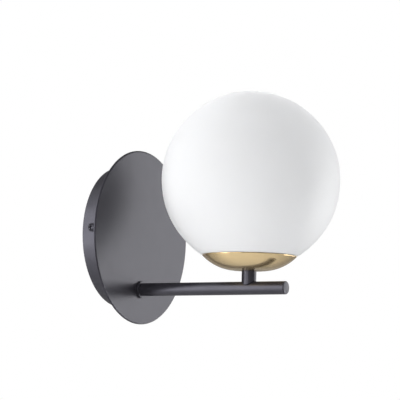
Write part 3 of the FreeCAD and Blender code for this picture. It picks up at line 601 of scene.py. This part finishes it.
def arc(across, height, radius, start, end, steps, first=0, last=0):
    """Corners on a circle between two angles, with a rounding at the first and at the last."""
    corners = []
    for step in range(steps + 1):
        angle = start + (end - start) * step / steps
        rounding = {0: first, steps: last}.get(step, 0)
        corners.append((across + radius * math.cos(angle), height + radius * math.sin(angle), rounding))
    return corners


def thread(crest, depth, start, end, pitch):
    """Threaded stretch of an outline, as (radius, height, depth of the groove), faded at both ends."""
    length = abs(end - start)
    rows = round(length / pitch * THREAD_ROWS)
    points = []
    for row in range(rows + 1):
        share = row / rows
        fade = min(1, min(share, 1 - share) * length / pitch)
        points.append((crest, start + (end - start) * share, depth * fade))
    return points


def groove(turns):
    """Share of a thread's depth: 0 on the flat crest and 1 at the root."""
    return 1 - min(1, abs(2 * (turns % 1) - 1) / (1 - CREST_SHARE))


def lathe(build, outline, place, steps=LARGE_STEPS, pitch=1):
    """Turn a closed outline of (radius, height, groove) about the +Z axis of its own place."""
    rings = []
    for radius, height, depth in outline:
        ring = []
        for step in range(1 if radius < ON_AXIS else steps):
            turn = step / steps
            reach = radius - depth * groove(height / pitch - turn)
            angle = 2 * math.pi * turn
            spot = place @ Vector((reach * math.cos(angle), reach * math.sin(angle), height))
            ring.append(build.verts.new(spot * MM))
        rings.append(ring * (steps // len(ring)))
    join_rings(build, rings)


def join_rings(build, rings):
    """Faces between rings that follow each other, with the last joined to the first."""
    for index, ring in enumerate(rings):
        ahead = rings[(index + 1) % len(rings)]
        for step in range(len(ring)):
            beside = (step + 1) % len(ring)
            corners = list(dict.fromkeys((ring[step], ring[beside], ahead[beside], ahead[step])))
            if len(corners) > 2:
                build.faces.new(corners)


def cut_away(build, cutter):
    """Take one closed shape, which is freed, away from another."""
    things = []
    for name, shape in (("kept", build), ("cutter", cutter)):
        bmesh.ops.recalc_face_normals(shape, faces=shape.faces)
        mesh = bpy.data.meshes.new(name)
        shape.to_mesh(mesh)
        things.append(add_object(name, mesh))
    kept, taken = things
    cut = kept.modifiers.new("cut", "BOOLEAN")
    cut.operation = "DIFFERENCE"
    cut.solver = "EXACT"
    cut.object = taken
    shown = kept.evaluated_get(bpy.context.evaluated_depsgraph_get())
    result = bpy.data.meshes.new_from_object(shown)
    build.clear()
    build.from_mesh(result)
    cutter.free()
    for thing in things:
        mesh = thing.data
        bpy.data.objects.remove(thing)
        bpy.data.meshes.remove(mesh)
    bpy.data.meshes.remove(result)


def finish_piece(name, build, node):
    """Make the shape a piece that stands for a node, rides on its body and takes its finish."""
    bmesh.ops.recalc_face_normals(build, faces=build.faces)
    mesh = mesh_of(name, build)
    mesh.shade_smooth()
    mesh.set_sharp_from_angle(angle=SMOOTH_ANGLE)
    mesh.materials.append(materials[SLOT_OF[node]])
    piece = add_object(name, mesh)
    even = piece.modifiers.new("even_shading", "WEIGHTED_NORMAL")
    even.keep_sharp = True
    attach(piece, BODY_OF[node])
    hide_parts(node)


def upright(z, x=0):
    """Place on the shade's axis, or beside it."""
    return Matrix.Translation((x, SHADE_AXIS, z))


def outward(x, y, z):
    """Place whose +Z points out of the wall."""
    return Matrix.Translation((x, y, z)) @ FACING["out"]


def make_globe():
    """Opal ball with a soft shoulder over the dish, a foot inside it and a fire-polished mouth."""
    foot = GLOBE_RADIUS - GLASS_STEP
    inner = GLOBE_RADIUS - GLASS_WALL
    shoulder = corners_of("brass_dish")[1].z + DISH_GAP - GLOBE_CENTRE
    mouth_edge = glass_low.z - GLOBE_CENTRE
    mouth = math.sqrt(foot ** 2 - mouth_edge ** 2)
    top = math.pi / 2
    shoulder_angle = math.asin(shoulder / GLOBE_RADIUS)
    notch_angle = math.asin(shoulder / foot)
    mouth_angle = math.asin(mouth_edge / foot)
    inner_angle = -math.acos(mouth / inner)
    outline = rounded([
        *arc(0, 0, GLOBE_RADIUS, top, shoulder_angle, BALL_STEPS, last=SHOULDER_ROUND),
        *arc(0, 0, foot, notch_angle, mouth_angle, FOOT_STEPS, first=NOTCH_ROUND, last=MOUTH_ROUND),
        *arc(0, 0, inner, inner_angle, top, BALL_STEPS, first=MOUTH_ROUND),
    ])
    build = bmesh.new()
    lathe(build, outline, upright(GLOBE_CENTRE))
    finish_piece("opal_globe", build, "globe_glass")


def make_dish():
    """Spun bowl: a flat middle, one arc up to the rim, an even wall and a rim with its edges broken."""
    low, high = corners_of("brass_dish")
    rim = (high.x - low.x) / 2
    depth = high.z - low.z
    curve = ((rim - DISH_FLAT) ** 2 + depth ** 2) / (2 * depth)
    inner = curve - DISH_WALL
    rim_level = depth - curve
    rim_outside = math.asin(rim_level / curve)
    rim_inside = math.asin(rim_level / inner)
    down = -math.pi / 2
    outline = rounded([
        (PIPE_HOLE, 0, HOLE_ROUND),
        *arc(DISH_FLAT, curve, curve, down, rim_outside, BOWL_STEPS, last=RIM_ROUND_OUTSIDE),
        *arc(DISH_FLAT, curve, inner, rim_inside, down, BOWL_STEPS, first=RIM_ROUND_INSIDE),
        (PIPE_HOLE, DISH_WALL, HOLE_ROUND),
    ])
    build = bmesh.new()
    lathe(build, outline, upright(low.z))
    finish_piece("spun_dish", build, "brass_dish")


def make_stem():
    """Upright tube whose foot sits astride the arm, with its edges rounded under the paint."""
    low, high = corners_of("stem_tube")
    outer = (high.x - low.x) / 2

    def seat(across):
        """Level of the arm's surface under the stem's wall."""
        rise = math.sqrt(max(0, ARM_RADIUS ** 2 - across ** 2))
        return max(low.z, ARM_LEVEL + rise)

    build = bmesh.new()
    sections = []
    for step in range(LARGE_STEPS):
        angle = 2 * math.pi * step / LARGE_STEPS
        side = math.cos(angle)
        along = math.sin(angle)
        section = rounded([
            (outer, high.z, STEM_TOP_ROUND),
            (outer, seat(outer * side), STEM_FOOT_ROUND),
            (STEM_BORE, seat(STEM_BORE * side), 0),
            (STEM_BORE, high.z, STEM_BORE_ROUND),
        ])
        sections.append([
            build.verts.new(Vector((radius * side, SHADE_AXIS + radius * along, height)) * MM)
            for radius, height, _ in section
        ])
    join_rings(build, sections)
    finish_piece("stem_astride_arm", build, "stem_tube")


def make_arm_end():
    """Plug pushed into the end of the arm, with a slightly domed cap and a rounded edge."""
    low, high = corners_of("arm_end_plug")
    length = high.y - low.y
    spigot = ARM_RADIUS - ARM_WALL - PLUG_PLAY
    curve = (ARM_RADIUS ** 2 + CAP_CROWN ** 2) / (2 * CAP_CROWN)
    edge = math.acos(ARM_RADIUS / curve)
    outline = rounded([
        (0, 0, 0),
        (spigot, 0, PLUG_ROUND),
        (spigot, length - CAP_THICK, 0),
        (ARM_RADIUS, length - CAP_THICK, 0),
        *arc(0, length - curve, curve, edge, math.pi / 2, CROWN_STEPS, first=CAP_ROUND),
    ], CAP_EDGE_STEPS)
    build = bmesh.new()
    lathe(build, outline, outward(0, high.y, ARM_LEVEL))
    finish_piece("rounded_arm_end", build, "arm_end_plug")


def make_pipe(name, node, place, length):
    """Hollow M10 pipe, threaded from end to end, with its bore chamfered at both."""
    root = PIPE_OUTER - PIPE_THREAD
    outline = [
        (PIPE_BORE + PIPE_CHAMFER, 0, 0),
        (root, 0, 0),
        *thread(PIPE_OUTER, PIPE_THREAD, PIPE_LEAD, length - PIPE_LEAD, PIPE_PITCH),
        (root, length, 0),
        (PIPE_BORE + PIPE_CHAMFER, length, 0),
        (PIPE_BORE, length - PIPE_CHAMFER, 0),
        (PIPE_BORE, PIPE_CHAMFER, 0),
    ]
    build = bmesh.new()
    lathe(build, outline, place, SMALL_STEPS, PIPE_PITCH)
    finish_piece(name, build, node)


def make_pipes():
    """The pipe that clamps the arm to the canopy, and the one that holds dish and lampholder."""
    low, high = corners_of("arm_nipple")
    make_pipe("arm_pipe", "arm_nipple", outward(0, high.y, ARM_LEVEL), high.y - low.y)
    low, high = corners_of("stem_nipple")
    make_pipe("stem_pipe", "stem_nipple", upright(low.z), high.z - low.z)


def make_cup():
    """Aluminium cup round the lampholder, with the coarse thread that the globe screws onto."""
    low, high = corners_of("holder_cup")
    outer = (high.x - low.x) / 2
    inner = outer - CUP_WALL
    band = outer - CUP_THREAD / 2
    height = high.z - low.z
    outline = [
        *rounded([(PIPE_HOLE, 0, 0), (band, 0, CUP_FOOT_ROUND), (band, CUP_BAND, 0)]),
        *thread(outer, CUP_THREAD, CUP_THREAD_START, height - CUP_THREAD_GAP, CUP_PITCH),
        (band, height - CUP_TOP_CHAMFER, 0),
        (outer - CUP_THREAD, height, 0),
        (inner + CUP_BORE_CHAMFER, height, 0),
        (inner, height - CUP_BORE_CHAMFER, 0),
        (inner, CUP_FLOOR + CUP_FILLET, 0),
        (inner - CUP_FILLET_MIDDLE, CUP_FLOOR + CUP_FILLET_MIDDLE, 0),
        (inner - CUP_FILLET, CUP_FLOOR, 0),
        (PIPE_HOLE, CUP_FLOOR, 0),
    ]
    build = bmesh.new()
    lathe(build, outline, upright(low.z), LARGE_STEPS, CUP_PITCH)
    drill = [(0, DRILL_FOOT, 0), (POST_HOLE, DRILL_FOOT, 0), (POST_HOLE, DRILL_TOP, 0), (0, DRILL_TOP, 0)]
    holes = bmesh.new()
    for across in (-POST_OFFSET, POST_OFFSET):
        lathe(holes, drill, upright(low.z, across), DRILL_STEPS)
    cut_away(build, holes)
    finish_piece("threaded_cup", build, "holder_cup")


def make_collar():
    """Aluminium ring bonded in the globe's mouth, threaded inside, with a flange under the glass."""
    low, high = corners_of("globe_collar")
    flange = (high.x - low.x) / 2
    height = high.z - low.z
    lip_level = height - LIP_THICK
    outline = [
        *rounded([
            (COLLAR_BORE + COLLAR_CHAMFER, 0, 0),
            (flange, 0, FLANGE_ROUND),
            (flange, FLANGE_THICK, FLANGE_ROUND),
        ]),
        (COLLAR_OUTER, FLANGE_THICK, 0),
        (COLLAR_OUTER, height - COLLAR_CHAMFER, 0),
        (COLLAR_OUTER - COLLAR_CHAMFER, height, 0),
        (LIP_BORE + LIP_CHAMFER, height, 0),
        (LIP_BORE, height - LIP_CHAMFER, 0),
        (LIP_BORE, lip_level, 0),
        (COLLAR_BORE, lip_level, 0),
        *thread(COLLAR_BORE, -CUP_THREAD, lip_level - COLLAR_LEAD, COLLAR_LEAD, CUP_PITCH),
    ]
    build = bmesh.new()
    lathe(build, outline, upright(low.z), LARGE_STEPS, CUP_PITCH)
    finish_piece("threaded_collar", build, "globe_collar")


def make_studs():
    """Threaded studs welded to the back of the disc, each with a plain foot."""
    low, high = corners_of("disc_studs")
    length = high.y - low.y
    across = high.x - SCREW_SHANK
    level = (low.z + high.z) / 2
    outline = [
        (0, 0, 0),
        (SCREW_SHANK - SCREW_THREAD, 0, 0),
        *thread(SCREW_SHANK, SCREW_THREAD, SCREW_LEAD, length - STUD_FOOT, SCREW_PITCH),
        (SCREW_SHANK, length, 0),
        (0, length, 0),
    ]
    build = bmesh.new()
    for x in (-across, across):
        lathe(build, outline, outward(x, high.y, level), SMALL_STEPS, SCREW_PITCH)
    finish_piece("threaded_studs", build, "disc_studs")


def cross_cutter(place, top, tip):
    """Tool for a cross recess: four arms that narrow from its top to its tip."""
    build = bmesh.new()
    rings = []
    for height, share in ((top, RECESS_TOP), (tip, RECESS_TIP)):
        far = RECESS_WIDTH / 2 * share
        near = RECESS_ARM * (share + 1) / 2
        corners = [
            (near, near), (far, near), (far, -near), (near, -near), (near, -far), (-near, -far),
            (-near, -near), (-far, -near), (-far, near), (-near, near), (-near, far), (near, far),
        ]
        rings.append([build.verts.new((place @ Vector((x, y, height))) * MM) for x, y in corners])
    above, below = rings
    build.faces.new(above)
    build.faces.new(below)
    for step in range(len(above)):
        beside = (step + 1) % len(above)
        build.faces.new((above[step], above[beside], below[beside], below[step]))
    return build


def pan_screw(build, place, head, thick):
    """Pan head screw with a cross recess, given the head's radius and height.

    +Z of its place points out of the head, which stands on the place's own plane.
    """
    outline = [
        (0, -SIDE_SCREW, 0),
        (SCREW_SHANK - SCREW_THREAD, -SIDE_SCREW, 0),
        *thread(SCREW_SHANK, SCREW_THREAD, SCREW_LEAD - SIDE_SCREW, -SCREW_LEAD, SCREW_PITCH),
        *rounded([
            (SCREW_SHANK, 0, 0),
            (head, 0, HEAD_EDGE_ROUND * head),
            (head, HEAD_SIDE * thick, HEAD_SHOULDER_ROUND * head),
            (HEAD_TOP * head, thick, HEAD_CROWN_ROUND * head),
            (0, thick, 0),
        ]),
    ]
    screw = bmesh.new()
    lathe(screw, outline, place, SMALL_STEPS, SCREW_PITCH)
    cut_away(screw, cross_cutter(place, thick + RECESS_ABOVE, RECESS_FLOOR * thick))
    whole = mesh_of("screw", screw)
    build.from_mesh(whole)
    bpy.data.meshes.remove(whole)


def make_side_screws():
    """The two screws that hold the canopy to the bracket's tabs."""
    low, high = corners_of("canopy_side_screws")
    y = (low.y + high.y) / 2
    z = (low.z + high.z) / 2
    drum = corners_of("canopy_cup")[1].x
    build = bmesh.new()
    for facing, sign in (("left", -1), ("right", 1)):
        place = Matrix.Translation((sign * drum, y, z)) @ FACING[facing]
        pan_screw(build, place, (high.z - low.z) / 2, high.x - drum)
    finish_piece("side_screws", build, "canopy_side_screws")


def make_panel(name, direction, distance, size, power, broad):
    """Area light that faces the object."""
    data = bpy.data.lights.new(name, "AREA")
    data.shape = "RECTANGLE"
    data.size, data.size_y = size
    data.energy = power
    lamp = add_object(name, data)
    away = Vector(direction).normalized()
    lamp.location = CAMERA_TARGET + away * distance
    lamp.rotation_mode = "QUATERNION"
    lamp.rotation_quaternion = away.to_track_quat("Z", "Y")
    lamp.visible_camera = False
    lamp.visible_glossy = not broad
    lamp.visible_diffuse = broad
    lamp.visible_transmission = broad


def make_ring():
    """Mirrored panels in a ring behind the light."""
    across = math.sqrt(1 - RING_BACK ** 2)
    for turn, power in RING.items():
        angle = math.radians(turn)
        direction = (-math.sin(angle) * across, RING_BACK, -math.cos(angle) * across)
        make_panel(f"ring_{turn}", direction, RING_REACH, (RING_PANEL, RING_PANEL), power, broad=False)


def make_card():
    """Grey card behind the object that only glossy surfaces see, paler towards its foot."""
    shader = Shader("grey_card")
    fade = shader.spread(shader.along("Z"), 1, CARD_DIM, lowest=CARD_FOOT, highest=CARD_DIM_LEVEL)
    shader.link(fade, shader.surface.inputs["Emission Color"])
    shader.put(Base_Color=(0, 0, 0, 1), Specular_IOR_Level=0, Emission_Strength=CARD_GLOW)
    build = bmesh.new()
    spots = [(CARD_LEFT, CARD_FOOT), (CARD_RIGHT, CARD_FOOT), (CARD_RIGHT, CARD_TOP), (CARD_LEFT, CARD_TOP)]
    build.faces.new([build.verts.new((x, CARD_BACK, z)) for x, z in spots])
    mesh = mesh_of("grey_card", build)
    mesh.materials.append(shader.material)
    card = add_object("grey_card", mesh)
    card.visible_camera = False
    card.visible_diffuse = False
    card.visible_transmission = False
    card.visible_shadow = False


def make_world():
    """White behind the object, and an even dim room for the light that falls on it."""
    world = bpy.data.worlds.new("studio")
    bpy.context.scene.world = world
    world.use_nodes = True
    tree = world.node_tree
    path = tree.nodes.new("ShaderNodeLightPath")
    mix = tree.nodes.new("ShaderNodeMixShader")
    tree.links.new(path.outputs["Is Camera Ray"], mix.inputs["Fac"])
    tree.links.new(mix.outputs["Shader"], tree.nodes["World Output"].inputs["Surface"])
    room = tree.nodes["Background"]
    white = tree.nodes.new("ShaderNodeBackground")
    for background, strength, slot in ((room, AMBIENT, mix.inputs[1]), (white, 1, mix.inputs[2])):
        background.inputs["Color"].default_value = (1, 1, 1, 1)
        background.inputs["Strength"].default_value = strength
        tree.links.new(background.outputs["Background"], slot)


def make_floor():
    """Plain pale floor well under the light, even in tone where the camera sees it."""
    shader = Shader("floor")
    tint = shader.ramp(shader.noise(2, detail=3), [(0.3, (0.84, 0.84, 0.84)), (0.7, (0.87, 0.87, 0.87))])
    shader.link(tint, shader.surface.inputs["Base Color"])
    shader.put(Roughness=0.7)
    seen = shader.add("ShaderNodeEmission")
    shader.link(tint, seen.inputs["Color"])
    path = shader.add("ShaderNodeLightPath")
    mix = shader.add("ShaderNodeMixShader")
    shader.link(path.outputs["Is Camera Ray"], mix.inputs["Fac"])
    shader.link(shader.surface.outputs["BSDF"], mix.inputs[1])
    shader.link(seen.outputs["Emission"], mix.inputs[2])
    shader.link(mix.outputs["Shader"], shader.tree.nodes["Material Output"].inputs["Surface"])
    build = bmesh.new()
    bmesh.ops.create_grid(build, x_segments=FLOOR_PARTS, y_segments=FLOOR_PARTS, size=FLOOR_SIDE / 2)
    mesh = mesh_of("floor", build)
    mesh.materials.append(shader.material)
    floor = add_object("floor", mesh)
    floor.location = (0, 0, FLOOR_LEVEL)


def make_studio():
    """Room, floor, card and lights."""
    make_world()
    make_floor()
    make_card()
    for name, panel in BROAD_PANELS.items():
        make_panel(name, *panel, broad=True)
    for name, panel in MIRRORED_PANELS.items():
        make_panel(name, *panel, broad=False)
    make_ring()
    bpy.context.scene.view_settings.view_transform = "Standard"


make_camera()
materials = make_materials()
dress_nodes()
make_globe()
make_dish()
make_stem()
make_arm_end()
make_pipes()
make_cup()
make_collar()
make_studs()
make_side_screws()
make_studio()

bpy.context.view_layer.update()
